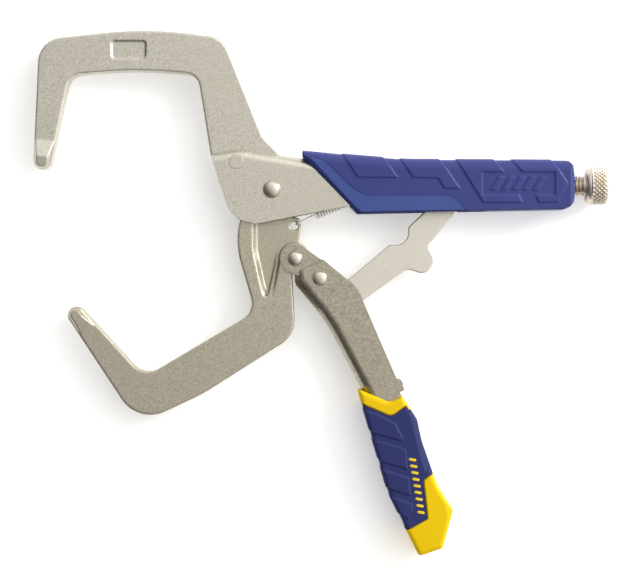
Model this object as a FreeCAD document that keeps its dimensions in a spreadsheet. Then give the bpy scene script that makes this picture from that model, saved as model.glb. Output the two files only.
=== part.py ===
import FreeCAD, Part
import os
import math
import Sketcher
from FreeCAD import Vector, Rotation, Placement

# A locking C-clamp lying on its side: a forged fixed jaw riveted into a sheet steel
# handle, a forged moving jaw on a pivot rivet, and a toggle of lever and link whose
# far end bears on the adjusting screw.
#
# The design frame has the jaw pivot at its origin, +X towards the adjusting screw,
# +Y towards the back of the fixed jaw and +Z across the thickness of the tool, with
# the middle plane at z = 0.  Every pivot axis is parallel to Z.  At the end each
# sub-part is shifted so that the origin is under the middle of the whole clamp.

PLANE_TOLERANCE = 0.01      # how far an edge may lie from the plane it belongs to
EDGE_REACH = 2.0            # how far an edge's middle may lie from the path it follows
GRIP_EDGE_REACH = 1.2       # the same, along the upper grip's back
NO_SHIFT = ("", "", "")     # a sketch that stays on its body's origin

doc = FreeCAD.newDocument("locking_c_clamp")
sheet = doc.addObject("Spreadsheet::Sheet", "dimensions")
values = {}
outlines = {}


def cell(alias, value):
    """Adds one named driving dimension, in millimetres or degrees."""
    row = len(values) + 1
    sheet.set("A%d" % row, alias)
    sheet.set("B%d" % row, str(value))
    sheet.setAlias("B%d" % row, alias)
    values[alias] = float(value)


def outline_cells(prefix, corners):
    """Adds the corners of an outline: each is a name, x, y and the radius it is rounded to."""
    outlines[prefix] = [("%s_%s" % (prefix, name), radius > 0) for name, x, y, radius in corners]
    for name, x, y, radius in corners:
        cell("%s_%s_x" % (prefix, name), x)
        cell("%s_%s_y" % (prefix, name), y)
        if radius > 0:
            cell("%s_%s_round" % (prefix, name), radius)


# ---------------------------------------------------------------- driving dimensions

# how far and how wide the cutting sections run past the metal they trim
cell("cut_margin", 5)
cell("cut_width", 40)

# forged jaws
cell("jaw_thickness", 10.4)
cell("jaw_edge_round", 0.8)
cell("tip_rise", 2.3)
cell("tip_end_rise", 1.5)
cell("tip_land", 6.2)
cell("tip_ramp", 7.8)
cell("tip_draft", 25)
cell("fixed_tip_end_x", -110)
cell("fixed_tip_end_y", 9.7)
cell("fixed_tip_angle", 84)
cell("moving_tip_end_x", -95.3)
cell("moving_tip_end_y", -56.1)
cell("moving_tip_angle", -55)

# handle of folded sheet
cell("handle_width", 16)
cell("handle_inside", 10.8)
cell("handle_bend", 5)
cell("spring_post_x", 66)
cell("spring_post_y", 6.2)
cell("spring_post_hole", 1.1)
cell("spring_post_width", 5)
cell("spring_post_drop", 2.4)
cell("spring_post_root", 1)
cell("spring_post_thickness", 2)

# lever of folded sheet
cell("lever_ear_width", 15.6)
cell("lever_ear_inside", 10.8)
cell("lever_width", 17.2)
cell("lever_inside", 12.4)
cell("lever_bend", 5.5)
cell("lever_joggle", 2.2)
cell("lever_joggle_x", 16.7)
cell("lever_joggle_y", -36.7)
cell("lever_joggle_angle", -63.8)
cell("lever_ear_radius", 6.8)
cell("lever_window_width", 7.2)

# toggle link
cell("link_thickness", 6)
cell("link_edge_round", 0.7)
cell("link_hub_width", 10.4)
cell("link_hub_radius", 5.6)

# pivots, from the jaw pivot
cell("jaw_pivot_bore", 3.3)
cell("jaw_pivot_shank", 3.25)
cell("jaw_pivot_head", 4.2)
cell("jaw_pivot_head_height", 2.5)
cell("jaw_pivot_head_round", 2.2)
cell("lever_pivot_x", 11)
cell("lever_pivot_y", -32.9)
cell("lever_pivot_bore", 2.65)
cell("lever_pivot_shank", 2.6)
cell("lever_pivot_head", 3.5)
cell("lever_pivot_head_height", 2.2)
cell("lever_pivot_head_round", 1.9)
cell("link_pivot_x", 22.8)
cell("link_pivot_y", -42.4)
cell("link_pivot_bore", 2.65)
cell("link_pivot_shank", 2.6)
cell("link_pivot_head", 3.5)
cell("link_pivot_head_height", 1.9)
cell("link_pivot_head_round", 1.7)
cell("jaw_rivet_x", -16.9)
cell("jaw_rivet_y", 13.1)
cell("jaw_rivet_radius", 3.5)
cell("jaw_rivet_edge", 0.3)
cell("hub_clearance", 11)
cell("hub_boss_radius", 8.6)
cell("lever_boss_radius", 7.6)
cell("web_depth", 2.2)
cell("web_draft", 46)
cell("spring_hole_x", 10.5)
cell("spring_hole_y", -17.2)
cell("spring_hole_radius", 2)

# adjusting screw, 3/8 inch with 16 threads to the inch
cell("screw_y", 1.9)
cell("screw_major", 4.76)
cell("screw_minor", 3.85)
cell("screw_pitch", 1.5875)
cell("screw_bore", 4.86)
cell("screw_tip_x", 105)
cell("screw_nose_length", 9)
cell("screw_nose_radius", 3.8)
cell("screw_lead_in", 0.9)
cell("thread_run_in", 1)
cell("thread_mouth", 0.45)
cell("thread_overcut", 0.06)
cell("knob_start_x", 149.8)
cell("knob_length", 10.7)
cell("knob_radius", 9)
cell("knob_shoulder", 2.6)
cell("knob_front_round", 1.4)
cell("knob_collar", 2.4)
cell("knob_collar_groove", 0.5)
cell("knob_bore", 3.05)
cell("knob_stub", 3)
cell("knob_stub_length", 4)
cell("knob_stub_gap", 0.1)
cell("hex_across_flats", 6.35)
cell("hex_depth", 5)

# return spring
cell("spring_wire", 0.6)
cell("spring_coil_radius", 1.75)
cell("spring_pitch", 1.5)
cell("spring_turns", 24)
cell("spring_coil_start_x", 22.2)
cell("spring_coil_start_y", -11.4)
cell("spring_front_lead", 3)
cell("spring_front_rise", 3.5)
cell("spring_rear_lead", 2.5)
cell("spring_rear_rise", 3)
cell("spring_gap", 0.2)

# moulded grips
cell("grip_thickness", 21)
cell("upper_grip_top_round", 5.5)
cell("upper_grip_screw_hole", 5.4)
cell("upper_grip_hole_depth", 10)
cell("lower_grip_round", 2.2)
cell("sleeve_waist_thickness", 18.8)
cell("ring_thickness", 30)

outline_cells("fixed_jaw", [
    ("tip_outer", -114.1, 9.6, 4.2),
    ("heel", -111.2, 71.4, 12),
    ("back", -60, 77, 180),
    ("shoulder", -23.2, 72.4, 12),
    ("flare", -4.1, 25, 8),
    ("tang_rear_top", 3.4, 17.5, 0),
    ("tang_rear_low", 3.4, 5, 0),
    ("tang_front_low", -24.9, 5, 1.5),
    ("throat_root", -29.4, 17, 0),
    ("throat_rear", -35.5, 54.95, 7.2),
    ("throat_back", -65, 57.3, 200),
    ("throat_front", -96.4, 54.75, 7.4),
    ("tip_inner", -106, 9.6, 4.2),
])
outline_cells("fixed_tip", [
    ("end_outer", -113.7, 9.9, 3.4),
    ("top_outer", -113.2, 26, 0),
    ("top_inner", -102.7, 26, 0),
    ("end_inner", -106.2, 9.9, 3.4),
])
outline_cells("size_plate", [
    ("low_front", -76.5, 62.5, 1.5),
    ("low_rear", -60.1, 62.5, 1.5),
    ("high_rear", -60.1, 71, 1.5),
    ("high_front", -76.5, 71, 1.5),
])
cell("size_plate_depth", 0.7)

outline_cells("moving_jaw", [
    ("hub_left", -8.2, 9.5, 9),
    ("hub_right", 9.8, 9.5, 8.6),
    ("tab_root", 9.2, -13.2, 2),
    ("tab_tip", 14.3, -13.4, 2.7),
    ("tab_low", 12.6, -26, 0),
    ("boss_low", 9.4, -38, 0),
    ("elbow", 11.2, -69.4, 14),
    ("belly", -33, -97.6, 90),
    ("heel", -63.9, -112, 16.5),
    ("tip_outer", -99, -58.9, 4),
    ("tip_inner", -92.7, -54.5, 4),
    ("throat_front", -60.8, -89.4, 9.5),
    ("throat_rear", -8.1, -58.3, 9),
    ("waist", -18.2, -24, 38),
])
outline_cells("moving_tip", [
    ("end_outer", -98.4, -58.9, 2.9),
    ("end_inner", -93, -55.2, 2.9),
    ("low_inner", -81.2, -68.2, 0),
    ("low_outer", -89.9, -71.9, 0),
])
outline_cells("web", [
    ("top_front", -9.4, -6, 0),
    ("wall", -9.4, -29, 30),
    ("low_front", -4.4, -51.4, 2.2),
    ("low_rear", 0.4, -51.2, 1.4),
    ("boss", 4.4, -32, 0),
    ("rear_low", 22, -31, 0),
    ("rear_top", 22, -6, 0),
])

outline_cells("handle", [
    ("front_top", -29.5, 17.5, 0),
    ("crest", -15.4, 19.8, 20),
    ("slope", 22, 13.5, 40),
    ("top_mid", 60, 12, 0),
    ("top_tail", 106, 12, 0),
    ("tail_top_front", 112, 9.9, 0),
    ("tail_top_rear", 141, 9.9, 0),
    ("tail_low_rear", 141, -6.1, 0),
    ("low_mid", 104, -6.1, 0),
    ("low_front", 40, -7, 0),
    ("chin", -7.4, -16.4, 9),
    ("front_low", -19.4, -13.6, 12),
    ("front_mid", -25.8, 5.7, 40),
])
outline_cells("cavity", [
    ("front_top", -40, 30, 0),
    ("slot_top", 3.6, 30, 0),
    ("slot_low", 3.6, 14.2, 0),
    ("web_slope", 22, 10.9, 0),
    ("web_mid", 60, 9.4, 0),
    ("web_rear", 106, 9.4, 0),
    ("rear_low", 106, -20, 0),
    ("front_low", -40, -30, 0),
])

outline_cells("lever", [
    ("joggle_low", 10.4, -39.8, 0),
    ("joggle_high", 23.4, -33.4, 0),
    ("shoulder", 40.5, -46.5, 20),
    ("lug_top", 59.5, -90.4, 0),
    ("lug_out", 61.9, -90.9, 0.8),
    ("lug_end", 63, -95.6, 0.8),
    ("lug_root", 61, -96.4, 0),
    ("end_rear", 71.2, -138, 0),
    ("end_front", 57.4, -142.5, 0),
    ("grip_front", 44.2, -97.8, 30),
    ("knee", 25.8, -63.1, 60),
    ("front_low", 10.4, -44.3, 0),
])
outline_cells("ear", [
    ("root_low", 12, -41, 0),
    ("root_rear", 26, -38, 0),
    ("root_high", 23.6, -33.6, 0),
    ("high", 15.18, -27.51, 0),
    ("front_low", 5.6, -37.1, 0),
])
outline_cells("ear_slot", [
    ("front_high", -2, -20, 0),
    ("rear_high", 34, -20, 0),
    ("rear_low", 34, -31.5, 0),
    ("web_inner", 12.6, -43.7, 0),
    ("web_outer", 9.9, -46.5, 0),
    ("front_low", -2, -50, 0),
])
outline_cells("lever_cavity", [
    ("front_high", 26.6, -34.5, 0),
    ("rear_high", 60, -40, 0),
    ("rear_low", 100, -120, 0),
    ("end", 80, -137, 0),
    ("end_front", 60.3, -143.9, 0),
    ("grip_front", 46.5, -97.1, 28),
    ("knee", 27.7, -61.7, 58),
    ("front_low", 12.6, -43.7, 0),
])
outline_cells("window", [
    ("front_high", 8, -38, 0),
    ("rear_high", 30, -58, 0),
    ("rear_mid", 41, -80, 0),
    ("rear_low", 33, -84.5, 0),
    ("front_low", 4, -50, 0),
])

outline_cells("link", [
    ("nose_left", 91, 6.8, 4.7),
    ("step", 65.2, -17.8, 0.9),
    ("hollow", 64.6, -26.8, 6),
    ("bump", 56.2, -26.3, 1.4),
    ("saddle", 33, -45.6, 6),
    ("hub_high", 24.6, -35.5, 5.4),
    ("hub_front", 15.6, -41.2, 5.4),
    ("hub_low", 21.6, -50, 5.4),
    ("belly", 38.2, -57, 7),
    ("bulb_root", 64.5, -37.8, 5),
    ("bulb_low", 73.8, -41, 5),
    ("bulb_rear", 78.1, -33.5, 4.8),
    ("neck", 74.4, -26.8, 3),
    ("nose_right", 97.6, 0.4, 4.7),
])

outline_cells("upper_grip", [
    ("tip", 14.4, 19.2, 0),
    ("top_front", 38, 16.8, 0),
    ("top_mid", 64, 14.7, 60),
    ("top_rear", 143.9, 14.3, 0),
    ("low_rear", 143.9, -9.3, 4),
    ("low_front", 40.7, -11.4, 1.5),
    ("tip_low", 14.5, 15.6, 0),
])
outline_cells("upper_grip_slot", [
    ("front_high", 0, -2, 0),
    ("rear_high", 102, -2, 0),
    ("rear_low", 102, -20, 0),
    ("front_low", 0, -20, 0),
])
outline_cells("lower_grip", [
    ("collar_front", 40.7, -94.6, 1),
    ("collar_dip", 55.8, -101, 4),
    ("collar_rear", 62, -98.3, 0.8),
    ("rear_high", 69, -109.3, 4),
    ("rear_mid", 71.2, -119.5, 20),
    ("rear_low", 78.6, -140.6, 20),
    ("heel", 86.2, -152.5, 2.5),
    ("end_rear", 81.2, -170.6, 2),
    ("end_front", 69.9, -174.4, 2),
    ("front_low", 54.8, -144, 30),
    ("front_high", 43, -104, 60),
])
outline_cells("sleeve", [
    ("high_front", 38, -99.6, 0),
    ("high_dip", 56.6, -107.6, 4),
    ("high_rear", 68, -99.4, 0),
    ("rear_far", 90, -110, 0),
    ("rear_low", 90, -124.5, 0),
    ("step_high", 72.3, -138.4, 0.8),
    ("step_low", 74.3, -156.6, 1),
    ("end", 65, -162, 3),
    ("front_far", 40, -155, 0),
])
outline_cells("waist", [
    ("high_front", 40, -90, 0),
    ("high_rear", 62, -90, 0),
    ("rear_high", 66.6, -108.5, 0),
    ("rear_low", 75.6, -138, 0),
    ("end_rear", 80, -168, 0),
    ("end_front", 70, -170, 0),
    ("front_low", 56.4, -144, 0),
    ("front_high", 44.5, -103, 0),
])

doc.recompute()


# ---------------------------------------------------------------- sketch helpers

def origin_plane(body, role):
    """One of a body's own origin planes."""
    return [feature for feature in body.Origin.OriginFeatures if feature.Role == role][0]


def new_body(name):
    body = doc.addObject("PartDesign::Body", name)
    body.Label = name
    return body


def new_sketch(body, name, base=NO_SHIFT, axis=Vector(1, 0, 0), angle=0):
    """A sketch on the body's XY plane, moved by up to three sheet expressions and turned."""
    sketch = body.newObject("Sketcher::SketchObject", name)
    sketch.AttachmentSupport = [(origin_plane(body, "XY_Plane"), "")]
    sketch.MapMode = "FlatFace"
    sketch.AttachmentOffset = Placement(Vector(0, 0, 0), Rotation(axis, angle))
    for direction, expression in zip("xyz", base):
        if expression:
            sketch.setExpression("AttachmentOffset.Base." + direction, expression)
    return sketch


def pin_point(sketch, geometry, position, alias):
    """Holds one point of a sketch at the x and y of a named corner."""
    for kind, letter in (("DistanceX", "x"), ("DistanceY", "y")):
        value = values["%s_%s" % (alias, letter)]
        index = sketch.addConstraint(Sketcher.Constraint(kind, -1, 1, geometry, position, value))
        sketch.setExpression("Constraints[%d]" % index, "dimensions.%s_%s" % (alias, letter))


def draw_outline(sketch, prefix):
    """A closed, fully held outline of straight runs and tangent corner arcs."""
    corners = outlines[prefix]
    count = len(corners)
    points = [Vector(values[name + "_x"], values[name + "_y"], 0) for name, rounded in corners]
    radii = [values[name + "_round"] if rounded else 0 for name, rounded in corners]
    before = [(points[i] - points[i - 1]).normalize() for i in range(count)]
    after = [before[(i + 1) % count] for i in range(count)]
    turns = [math.atan2(before[i].cross(after[i]).z, before[i].dot(after[i])) for i in range(count)]
    setbacks = [radii[i] * math.tan(abs(turns[i]) / 2) for i in range(count)]
    lines = []
    for i in range(count):
        j = (i + 1) % count
        start = points[i] + after[i] * setbacks[i]
        end = points[j] - before[j] * setbacks[j]
        lines.append(sketch.addGeometry(Part.LineSegment(start, end), False))
    for i in range(count):
        name, rounded = corners[i]
        incoming = lines[i - 1]
        outgoing = lines[i]
        if not rounded:
            sketch.addConstraint(Sketcher.Constraint("Coincident", incoming, 2, outgoing, 1))
            pin_point(sketch, outgoing, 1, name)
            continue
        side = 1 if turns[i] > 0 else -1
        first = points[i] - before[i] * setbacks[i]
        centre = first + Vector(-before[i].y, before[i].x, 0) * side * radii[i]
        heading = math.atan2(first.y - centre.y, first.x - centre.x)
        angles = sorted((heading, heading + turns[i]))
        circle = Part.Circle(centre, Vector(0, 0, 1), radii[i])
        arc = sketch.addGeometry(Part.ArcOfCircle(circle, angles[0], angles[1]), False)
        entry = 1 if side > 0 else 2
        corner = sketch.addGeometry(Part.Point(points[i]), True)
        sketch.addConstraint([
            Sketcher.Constraint("Tangent", incoming, 2, arc, entry),
            Sketcher.Constraint("Tangent", arc, 3 - entry, outgoing, 1),
            Sketcher.Constraint("PointOnObject", corner, 1, incoming),
            Sketcher.Constraint("PointOnObject", corner, 1, outgoing),
        ])
        index = sketch.addConstraint(Sketcher.Constraint("Radius", arc, radii[i]))
        sketch.setExpression("Constraints[%d]" % index, "dimensions.%s_round" % name)
        pin_point(sketch, corner, 1, name)


def draw_circle(sketch, centre, radius):
    """A circle whose centre is a named corner, or the sketch's origin, and whose radius is named."""
    x = values[centre + "_x"] if centre else 0
    y = values[centre + "_y"] if centre else 0
    circle = sketch.addGeometry(Part.Circle(Vector(x, y, 0), Vector(0, 0, 1), values[radius]), False)
    if centre:
        pin_point(sketch, circle, 3, centre)
    else:
        sketch.addConstraint(Sketcher.Constraint("Coincident", circle, 3, -1, 1))
    index = sketch.addConstraint(Sketcher.Constraint("Radius", circle, values[radius]))
    sketch.setExpression("Constraints[%d]" % index, "dimensions." + radius)


def draw_profile(sketch, stations):
    """A closed polygon for a turned or cut section: each corner is a pair of sheet expressions."""
    points = [Vector(*[float(sheet.evalExpression(text)) for text in pair], 0) for pair in stations]
    lines = []
    for i, start in enumerate(points):
        end = points[(i + 1) % len(points)]
        lines.append(sketch.addGeometry(Part.LineSegment(start, end), False))
    for i, line in enumerate(lines):
        sketch.addConstraint(Sketcher.Constraint("Coincident", lines[i - 1], 2, line, 1))
        for kind, expression, value in (("DistanceX", stations[i][0], points[i].x),
                                        ("DistanceY", stations[i][1], points[i].y)):
            index = sketch.addConstraint(Sketcher.Constraint(kind, -1, 1, line, 1, value))
            sketch.setExpression("Constraints[%d]" % index, expression)


def add(body, kind, name, profile=None, **settings):
    """Adds a PartDesign feature; a setting that is text names a sheet expression."""
    feature = body.newObject("PartDesign::" + kind, name)
    if profile:
        feature.Profile = profile
    for key, value in settings.items():
        if isinstance(value, str) and "dimensions." in value:
            feature.setExpression(key, value)
        else:
            setattr(feature, key, value)
    doc.recompute()
    return feature


def pad_outline(body, prefix, width):
    sketch = new_sketch(body, prefix + "_outline")
    draw_outline(sketch, prefix)
    return add(body, "Pad", prefix + "_pad", sketch, Length="dimensions." + width, SideType="Symmetric")


def cut_outline(body, prefix, width, name=None):
    sketch = new_sketch(body, (name or prefix) + "_cut_outline")
    draw_outline(sketch, prefix)
    add(body, "Pocket", (name or prefix) + "_cut", sketch,
        Length="dimensions." + width, SideType="Symmetric")


def pad_circle(body, name, centre, radius, width):
    sketch = new_sketch(body, name + "_circle")
    draw_circle(sketch, centre, radius)
    return add(body, "Pad", name, sketch, Length="dimensions." + width, SideType="Symmetric")


def bore(body, name, centre, radius):
    """A round hole right through, parallel to Z."""
    sketch = new_sketch(body, name + "_circle")
    draw_circle(sketch, centre, radius)
    add(body, "Pocket", name, sketch, Type="ThroughAll", SideType="Symmetric")


def mirror(body, features, name):
    """Repeats features on the other face of the middle plane."""
    copy = body.newObject("PartDesign::Mirrored", name)
    copy.Originals = features
    copy.MirrorPlane = (origin_plane(body, "XY_Plane"), [""])
    body.Tip = copy
    doc.recompute()


def face_edges(feature, level):
    """The names of the edges that lie in the two planes z = +level and z = -level."""
    names = []
    for i, edge in enumerate(feature.Shape.Edges):
        box = edge.BoundBox
        if abs(abs(box.ZMin) - level) < PLANE_TOLERANCE and box.ZLength < PLANE_TOLERANCE:
            names.append("Edge%d" % (i + 1))
    return names


def edges_near(feature, level, start, end, reach=EDGE_REACH):
    """Of face_edges, those whose middle lies within reach of the path between two corners."""
    a = Vector(values[start + "_x"], values[start + "_y"], 0)
    b = Vector(values[end + "_x"], values[end + "_y"], 0)
    along = (b - a).normalize()
    names = []
    for name in face_edges(feature, level):
        edge = feature.Shape.getElement(name)
        middle = edge.valueAt((edge.FirstParameter + edge.LastParameter) / 2)
        offset = Vector(middle.x, middle.y, 0) - a
        distance = offset.cross(along).Length
        if distance < reach and -reach < offset.dot(along) < (b - a).Length + reach:
            names.append(name)
    return names


def rim_edges(feature, station, least_width):
    """The names of the circles round the X axis at one station, wider than a given width."""
    names = []
    for i, edge in enumerate(feature.Shape.Edges):
        box = edge.BoundBox
        flat = abs(box.XMin - station) < PLANE_TOLERANCE and box.XLength < PLANE_TOLERANCE
        if flat and box.ZLength > least_width:
            names.append("Edge%d" % (i + 1))
    return names


def round_edges(body, base, names, radius, feature_name):
    fillet = body.newObject("PartDesign::Fillet", feature_name)
    fillet.Base = (base, names)
    fillet.setExpression("Radius", "dimensions." + radius)
    doc.recompute()
    return fillet


def upright_sketch(body, name, prefix, angle):
    """A sketch through a named point whose x runs at an angle in the XY plane and whose y is Z."""
    base = ("dimensions.%s_x" % prefix, "dimensions.%s_y" % prefix, "")
    sketch = new_sketch(body, name, base)
    turn = Rotation(Vector(0, 0, 1), values[angle]) * Rotation(Vector(1, 0, 0), 90)
    sketch.AttachmentOffset = Placement(sketch.AttachmentOffset.Base, turn)
    return sketch


def both_faces(body, name, prefix, angle, profile):
    """Cuts the same section off both faces of the middle plane."""
    for side, sign in (("front", ""), ("back", "-")):
        sketch = upright_sketch(body, "%s_%s_section" % (name, side), prefix, angle)
        stations = [(along, "%s(%s)" % (sign, up)) for along, up in profile]
        draw_profile(sketch, stations)
        add(body, "Pocket", "%s_%s" % (name, side), sketch,
            Length="dimensions.cut_width", SideType="Symmetric")


def raised_tip(body, prefix):
    """A jaw tip: a drafted pad on each face, cut to a short land and a ramp down to the arm."""
    base = ("", "", "dimensions.jaw_thickness * 0.5 - dimensions.jaw_edge_round")
    sketch = new_sketch(body, prefix + "_pad_outline", base)
    draw_outline(sketch, prefix)
    pad = add(body, "Pad", prefix + "_pad", sketch,
              Length="dimensions.tip_rise + dimensions.jaw_edge_round", TaperAngle="-dimensions.tip_draft")
    mirror(body, [pad], prefix + "_pad_back")
    half = "dimensions.jaw_thickness * 0.5"
    top = half + " + dimensions.tip_rise"
    foot = "dimensions.tip_land + dimensions.tip_ramp"
    margin = " + dimensions.cut_margin"
    profile = [
        ("-dimensions.cut_margin", half + " + dimensions.tip_end_rise"),
        ("0", half + " + dimensions.tip_end_rise"),
        ("dimensions.tip_land", top),
        (foot, half),
        (foot + margin, half),
        (foot + margin, top + margin),
        ("-dimensions.cut_margin", top + margin),
    ]
    both_faces(body, prefix + "_ramp", prefix + "_end", prefix + "_angle", profile)


# ---------------------------------------------------------------- forged jaws

def make_fixed_jaw():
    body = new_body("fixed_jaw")
    blank = pad_outline(body, "fixed_jaw", "jaw_thickness")
    edges = face_edges(blank, values["jaw_thickness"] / 2)
    round_edges(body, blank, edges, "jaw_edge_round", "jaw_edges")
    raised_tip(body, "fixed_tip")
    sketch = new_sketch(body, "size_plate_outline", ("", "", "dimensions.jaw_thickness * 0.5"))
    draw_outline(sketch, "size_plate")
    add(body, "Pocket", "size_plate_recess", sketch, Length="dimensions.size_plate_depth")
    bore(body, "hub_clearance_cut", "", "hub_clearance")
    bore(body, "jaw_rivet_hole", "jaw_rivet", "jaw_rivet_radius")
    return body


def make_moving_jaw():
    body = new_body("moving_jaw")
    blank = pad_outline(body, "moving_jaw", "jaw_thickness")
    edges = face_edges(blank, values["jaw_thickness"] / 2)
    round_edges(body, blank, edges, "jaw_edge_round", "jaw_edges")
    sketch = new_sketch(body, "web_outline", ("", "", "dimensions.jaw_thickness * 0.5"))
    draw_outline(sketch, "web")
    pocket = add(body, "Pocket", "web_recess", sketch,
                 Length="dimensions.web_depth", TaperAngle="-dimensions.web_draft")
    mirror(body, [pocket], "web_recess_back")
    pad_circle(body, "hub_boss", "", "hub_boss_radius", "jaw_thickness")
    pad_circle(body, "lever_boss", "lever_pivot", "lever_boss_radius", "jaw_thickness")
    raised_tip(body, "moving_tip")
    bore(body, "jaw_pivot_hole", "", "jaw_pivot_bore")
    bore(body, "lever_pivot_hole", "lever_pivot", "lever_pivot_bore")
    bore(body, "spring_hole_cut", "spring_hole", "spring_hole_radius")
    return body


# ---------------------------------------------------------------- folded sheet parts

def make_upper_handle():
    body = new_body("upper_handle")
    blank = pad_outline(body, "handle", "handle_width")
    bend = []
    half = values["handle_width"] / 2
    corners = ("front_top", "crest", "slope", "top_mid", "top_tail")
    for first, second in zip(corners, corners[1:]):
        bend += edges_near(blank, half, "handle_" + first, "handle_" + second)
    round_edges(body, blank, sorted(set(bend)), "handle_bend", "handle_bends")
    cut_outline(body, "cavity", "handle_inside")
    sketch = new_sketch(body, "spring_post_outline")
    post_front = "dimensions.spring_post_x - dimensions.spring_post_width * 0.5"
    post_rear = "dimensions.spring_post_x + dimensions.spring_post_width * 0.5"
    post_foot = "dimensions.spring_post_y - dimensions.spring_post_drop"
    post_top = "dimensions.cavity_web_mid_y + dimensions.spring_post_root"
    draw_profile(sketch, [
        (post_front, post_foot), (post_rear, post_foot), (post_rear, post_top), (post_front, post_top),
    ])
    add(body, "Pad", "spring_post", sketch, Length="dimensions.spring_post_thickness", SideType="Symmetric")
    bore(body, "spring_post_eye", "spring_post", "spring_post_hole")
    bore(body, "jaw_pivot_hole", "", "jaw_pivot_shank")
    bore(body, "jaw_rivet_hole", "jaw_rivet", "jaw_rivet_radius")
    tail_front = ("dimensions.handle_low_mid_x", "dimensions.screw_y", "")
    sketch = new_sketch(body, "tail_bore_circle", tail_front, Vector(0, 1, 0), 90)
    draw_circle(sketch, "", "screw_bore")
    add(body, "Pocket", "tail_bore", sketch, Type="ThroughAll", SideType="Symmetric")
    return body


def make_lever():
    body = new_body("lever")
    blank = pad_outline(body, "lever", "lever_width")
    bend = []
    half = values["lever_width"] / 2
    corners = ("front_low", "knee", "grip_front", "end_front")
    for first, second in zip(corners, corners[1:]):
        bend += edges_near(blank, half, "lever_" + first, "lever_" + second)
    round_edges(body, blank, sorted(set(bend)), "lever_bend", "lever_bends")
    ear = "dimensions.lever_ear_width * 0.5"
    side = "dimensions.lever_width * 0.5"
    both_faces(body, "joggle", "lever_joggle", "lever_joggle_angle", [
        ("-dimensions.cut_margin", ear),
        ("0", ear),
        ("dimensions.lever_joggle", side),
        ("dimensions.lever_joggle", side + " + dimensions.cut_margin"),
        ("-dimensions.cut_margin", side + " + dimensions.cut_margin"),
    ])
    pad_outline(body, "ear", "lever_ear_width")
    pad_circle(body, "ear_round", "lever_pivot", "lever_ear_radius", "lever_ear_width")
    cut_outline(body, "ear_slot", "lever_ear_inside")
    cut_outline(body, "lever_cavity", "lever_inside")
    cut_outline(body, "window", "lever_window_width")
    bore(body, "lever_pivot_hole", "lever_pivot", "lever_pivot_shank")
    bore(body, "link_pivot_hole", "link_pivot", "link_pivot_shank")
    return body


def make_toggle_link():
    body = new_body("toggle_link")
    blank = pad_outline(body, "link", "link_thickness")
    edges = face_edges(blank, values["link_thickness"] / 2)
    round_edges(body, blank, edges, "link_edge_round", "link_edges")
    pad_circle(body, "link_hub", "link_pivot", "link_hub_radius", "link_hub_width")
    bore(body, "link_pivot_hole", "link_pivot", "link_pivot_bore")
    return body


# ---------------------------------------------------------------- rivets

def make_pivot_rivet(name, pivot, centre, width):
    """A shank with a domed head formed on each side of the sheet."""
    body = new_body(name)
    base = ("dimensions.%s_x" % centre, "dimensions.%s_y" % centre, "") if centre else NO_SHIFT
    sketch = new_sketch(body, name + "_section", base, Vector(1, 0, 0), 90)
    seat = "dimensions.%s * 0.5" % width
    top = "%s + dimensions.%s_head_height" % (seat, pivot)
    shank = "dimensions.%s_shank" % pivot
    head = "dimensions.%s_head" % pivot
    draw_profile(sketch, [
        ("0", "-(%s)" % top), (head, "-(%s)" % top), (head, "-(%s)" % seat), (shank, "-(%s)" % seat),
        (shank, seat), (head, seat), (head, top), ("0", top),
    ])
    turned = add(body, "Revolution", name + "_turned", sketch, ReferenceAxis=(sketch, ["V_Axis"]))
    level = values[width] / 2 + values[pivot + "_head_height"]
    round_edges(body, turned, face_edges(turned, level), pivot + "_head_round", name + "_domes")
    return body


def make_fixed_jaw_rivet():
    body = new_body("fixed_jaw_rivet")
    shank = pad_circle(body, "flush_shank", "jaw_rivet", "jaw_rivet_radius", "handle_width")
    edges = face_edges(shank, values["handle_width"] / 2)
    round_edges(body, shank, edges, "jaw_rivet_edge", "flush_edges")
    return body


# ---------------------------------------------------------------- adjusting screw

def make_adjusting_screw():
    body = new_body("adjusting_screw")
    sketch = new_sketch(body, "rod_section", ("", "dimensions.screw_y", ""))
    thread_start = "dimensions.screw_tip_x + dimensions.screw_nose_length"
    draw_profile(sketch, [
        ("dimensions.screw_tip_x", "0"),
        ("dimensions.screw_tip_x", "dimensions.screw_nose_radius"),
        (thread_start, "dimensions.screw_nose_radius"),
        (thread_start + " + dimensions.screw_lead_in", "dimensions.screw_major"),
        ("dimensions.knob_start_x", "dimensions.screw_major"),
        ("dimensions.knob_start_x", "dimensions.knob_stub"),
        ("dimensions.knob_start_x + dimensions.knob_stub_length", "dimensions.knob_stub"),
        ("dimensions.knob_start_x + dimensions.knob_stub_length", "0"),
    ])
    add(body, "Revolution", "rod_turned", sketch, ReferenceAxis=(sketch, ["H_Axis"]))
    groove_start = thread_start + " - dimensions.thread_run_in"
    groove = new_sketch(body, "thread_section", (groove_start, "dimensions.screw_y", ""))
    mouth = "dimensions.screw_pitch * dimensions.thread_mouth"
    crest = "dimensions.screw_major + dimensions.thread_overcut"
    draw_profile(groove, [("0", "dimensions.screw_minor"), ("-" + mouth, crest), (mouth, crest)])
    thread = body.newObject("PartDesign::SubtractiveHelix", "thread")
    thread.Profile = groove
    thread.ReferenceAxis = (groove, ["H_Axis"])
    thread.Mode = "pitch-height-angle"
    thread.setExpression("Pitch", "dimensions.screw_pitch")
    thread.setExpression("Height", "dimensions.knob_start_x - (%s)" % thread_start)
    doc.recompute()
    return body


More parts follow.
